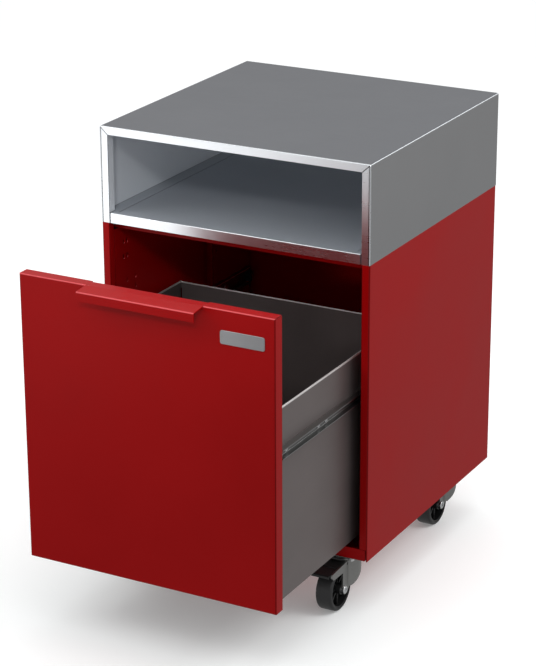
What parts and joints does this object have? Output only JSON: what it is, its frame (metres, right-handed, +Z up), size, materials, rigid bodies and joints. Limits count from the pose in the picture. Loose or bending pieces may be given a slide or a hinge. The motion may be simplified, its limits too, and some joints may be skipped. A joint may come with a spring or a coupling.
{
  "type": "mobile pedestal filing cabinet",
  "caption": "Steel mobile pedestal with an open pigeonhole over a deep filing drawer on ball-bearing slides, standing on braked swivel casters.",
  "frame": {"origin": "on the floor, under the middle of the pedestal's outline with its drawer at the rest opening", "axes": "+Z up, +X to the right when facing the drawer, the drawer opens towards -Y"},
  "size_m": [0.4, 0.645, 0.626],
  "materials": {
    "red_powder_coat": "satin red powder coat",
    "satin_grey_steel": "satin clear-coated steel",
    "drawer_box_steel": "satin grey galvanised sheet",
    "slide_steel": "zinc-plated roll-formed steel",
    "bearing_steel": "polished balls in a plated strip",
    "zinc_fasteners": "bright zinc plate",
    "caster_steel": "grey zinc-plated pressed steel",
    "badge_plate": "satin anodised, blank",
    "black_plastic": "fine moulded texture",
    "tread_rubber": "smooth moulded rubber",
    "black_rubber": "soft moulded rubber"
  },
  "bodies": {
    "cabinet": {"carcass_side_left": "red_powder_coat", "carcass_side_right": "red_powder_coat", "carcass_back": "red_powder_coat", "carcass_base": "red_powder_coat", "carcass_top_panel": "red_powder_coat", "side_liner_front_left": "red_powder_coat", "side_liner_front_right": "red_powder_coat", "side_liner_rear_left": "red_powder_coat", "side_liner_rear_right": "red_powder_coat", "cubby_shell": "satin_grey_steel", "cubby_floor": "satin_grey_steel", "cubby_back": "satin_grey_steel", "cubby_bolts": "zinc_fasteners", "cubby_weld_nuts": "zinc_fasteners", "slide_outer_left": "slide_steel", "slide_outer_right": "slide_steel", "slide_fixing_screws": "zinc_fasteners", "slide_buffers": "black_rubber", "caster_bolts": "zinc_fasteners", "caster_nuts": "zinc_fasteners", "caster_kingpins": "zinc_fasteners", "caster_swivel_balls": "bearing_steel", "caster_front_left_plate": "caster_steel", "caster_front_right_plate": "caster_steel", "caster_rear_left_plate": "caster_steel", "caster_rear_right_plate": "caster_steel"},
    "drawer": {"drawer_front": "red_powder_coat", "drawer_front_liner": "red_powder_coat", "drawer_pull": "red_powder_coat", "drawer_badge": "badge_plate", "drawer_side_left": "drawer_box_steel", "drawer_side_right": "drawer_box_steel", "drawer_back": "drawer_box_steel", "drawer_inner_front": "drawer_box_steel", "drawer_bottom": "drawer_box_steel", "drawer_front_screws": "zinc_fasteners", "drawer_slide_screws": "zinc_fasteners", "slide_inner_left": "slide_steel", "slide_inner_right": "slide_steel"},
    "ball_cage_left": {"slide_ball_cage_left": "bearing_steel"},
    "ball_cage_right": {"slide_ball_cage_right": "bearing_steel"},
    "caster_front_left_swivel": {"caster_front_left_fork": "caster_steel", "caster_front_left_axle": "zinc_fasteners"},
    "caster_front_left_wheel": {"caster_front_left_wheel_hub": "black_plastic", "caster_front_left_tyre": "tread_rubber"},
    "caster_front_left_brake": {"caster_front_left_brake_pedal": "black_plastic"},
    "caster_front_right_swivel": {"caster_front_right_fork": "caster_steel", "caster_front_right_axle": "zinc_fasteners"},
    "caster_front_right_wheel": {"caster_front_right_wheel_hub": "black_plastic", "caster_front_right_tyre": "tread_rubber"},
    "caster_front_right_brake": {"caster_front_right_brake_pedal": "black_plastic"},
    "caster_rear_left_swivel": {"caster_rear_left_fork": "caster_steel", "caster_rear_left_axle": "zinc_fasteners"},
    "caster_rear_left_wheel": {"caster_rear_left_wheel_hub": "black_plastic", "caster_rear_left_tyre": "tread_rubber"},
    "caster_rear_right_swivel": {"caster_rear_right_fork": "caster_steel", "caster_rear_right_axle": "zinc_fasteners"},
    "caster_rear_right_wheel": {"caster_rear_right_wheel_hub": "black_plastic", "caster_rear_right_tyre": "tread_rubber"}
  },
  "joints": [
    {"name": "drawer_slide", "type": "slide", "parent": "cabinet", "child": "drawer", "axis": [0, -1, 0], "range_m": [-0.222, 0.04]},
    {"name": "ball_cage_left_slide", "type": "slide", "parent": "cabinet", "child": "ball_cage_left", "axis": [0, -1, 0], "range_m": [-0.111, 0.02]},
    {"name": "ball_cage_right_slide", "type": "slide", "parent": "cabinet", "child": "ball_cage_right", "axis": [0, -1, 0], "range_m": [-0.111, 0.02]},
    {"name": "caster_front_left_swivel", "type": "hinge", "parent": "cabinet", "child": "caster_front_left_swivel", "pos_m": [-0.151, -0.0475, 0.0735], "axis": [0, 0, 1], "continuous": true},
    {"name": "caster_front_left_wheel_spin", "type": "hinge", "parent": "caster_front_left_swivel", "child": "caster_front_left_wheel", "pos_m": [-0.151, -0.0779, 0.031], "axis": [1, 0, 0], "continuous": true},
    {"name": "caster_front_left_brake_press", "type": "hinge", "parent": "caster_front_left_swivel", "child": "caster_front_left_brake", "pos_m": [-0.151, -0.0679, 0.0652], "axis": [1, 0, 0], "range_deg": [0, 7.5]},
    {"name": "caster_front_right_swivel", "type": "hinge", "parent": "cabinet", "child": "caster_front_right_swivel", "pos_m": [0.151, -0.0475, 0.0735], "axis": [0, 0, 1], "continuous": true},
    {"name": "caster_front_right_wheel_spin", "type": "hinge", "parent": "caster_front_right_swivel", "child": "caster_front_right_wheel", "pos_m": [0.151, -0.0779, 0.031], "axis": [1, 0, 0], "continuous": true},
    {"name": "caster_front_right_brake_press", "type": "hinge", "parent": "caster_front_right_swivel", "child": "caster_front_right_brake", "pos_m": [0.151, -0.0679, 0.0652], "axis": [1, 0, 0], "range_deg": [0, 7.5]},
    {"name": "caster_rear_left_swivel", "type": "hinge", "parent": "cabinet", "child": "caster_rear_left_swivel", "pos_m": [-0.151, 0.2625, 0.0735], "axis": [0, 0, 1], "continuous": true},
    {"name": "caster_rear_left_wheel_spin", "type": "hinge", "parent": "caster_rear_left_swivel", "child": "caster_rear_left_wheel", "pos_m": [-0.151, 0.2321, 0.031], "axis": [1, 0, 0], "continuous": true},
    {"name": "caster_rear_right_swivel", "type": "hinge", "parent": "cabinet", "child": "caster_rear_right_swivel", "pos_m": [0.151, 0.2625, 0.0735], "axis": [0, 0, 1], "continuous": true},
    {"name": "caster_rear_right_wheel_spin", "type": "hinge", "parent": "caster_rear_right_swivel", "child": "caster_rear_right_wheel", "pos_m": [0.151, 0.2321, 0.031], "axis": [1, 0, 0], "continuous": true}
  ],
  "couplings": [
    {"joint": "ball_cage_left_slide", "follows": "drawer_slide", "ratio": 0.5},
    {"joint": "ball_cage_right_slide", "follows": "drawer_slide", "ratio": 0.5}
  ]
}
